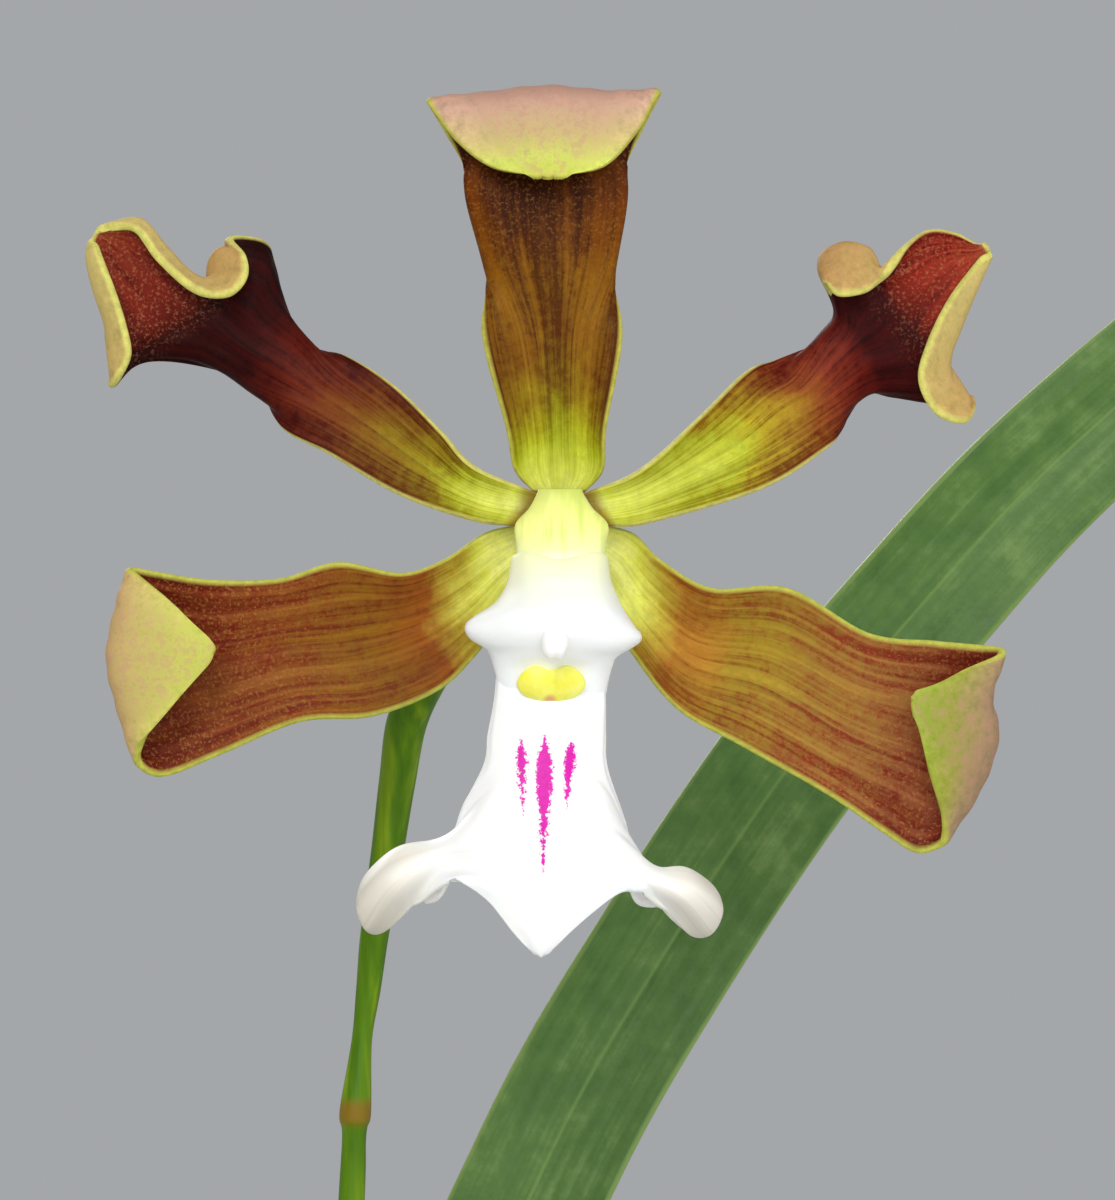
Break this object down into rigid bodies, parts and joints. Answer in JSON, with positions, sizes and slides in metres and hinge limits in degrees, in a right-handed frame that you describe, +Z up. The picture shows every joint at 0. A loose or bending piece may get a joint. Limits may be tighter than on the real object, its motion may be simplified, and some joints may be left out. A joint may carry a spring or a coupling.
{
  "type": "potted encyclia cordigera",
  "caption": "Flowering orchid in a plain clay pot: a brown and maroon bloom with a white lip on a tall stalk, above arching strap leaves and pseudobulbs.",
  "frame": {"origin": "centre of the pot's underside, which the plant stands on", "axes": "+Z up along the pot's axis, the bloom faces -Y, +X to the right of someone who faces the bloom"},
  "size_m": [0.2205, 0.2764, 0.3784],
  "materials": {
    "clay": "bare fired clay",
    "bark": "rough bark chips",
    "rhizome": "dry and fibrous",
    "pseudobulb": "satin, faintly ridged",
    "leaf": "leathery satin",
    "stalk": "satin",
    "sepal": "waxy petal, streaked brown on olive",
    "petal": "waxy petal, maroon with a green rim",
    "lip": "waxy white petal with magenta stripes",
    "column": "waxy",
    "anther": "waxy"
  },
  "bodies": {
    "root": {"pot": "clay", "bark_medium": "bark", "rhizome_and_roots": "rhizome", "pseudobulb_1": "pseudobulb", "pseudobulb_2": "pseudobulb", "pseudobulb_3": "pseudobulb", "pseudobulb_4": "pseudobulb", "leaf_1": "leaf", "leaf_2": "leaf", "leaf_3": "leaf", "leaf_4": "leaf", "leaf_5": "leaf", "leaf_6": "leaf", "leaf_7": "leaf", "flower_stalk": "stalk", "dorsal_sepal": "sepal", "petal_left": "petal", "petal_right": "petal", "lateral_sepal_left": "sepal", "lateral_sepal_right": "sepal", "lip": "lip", "column": "column", "anther_cap": "anther"}
  },
  "joints": []
}
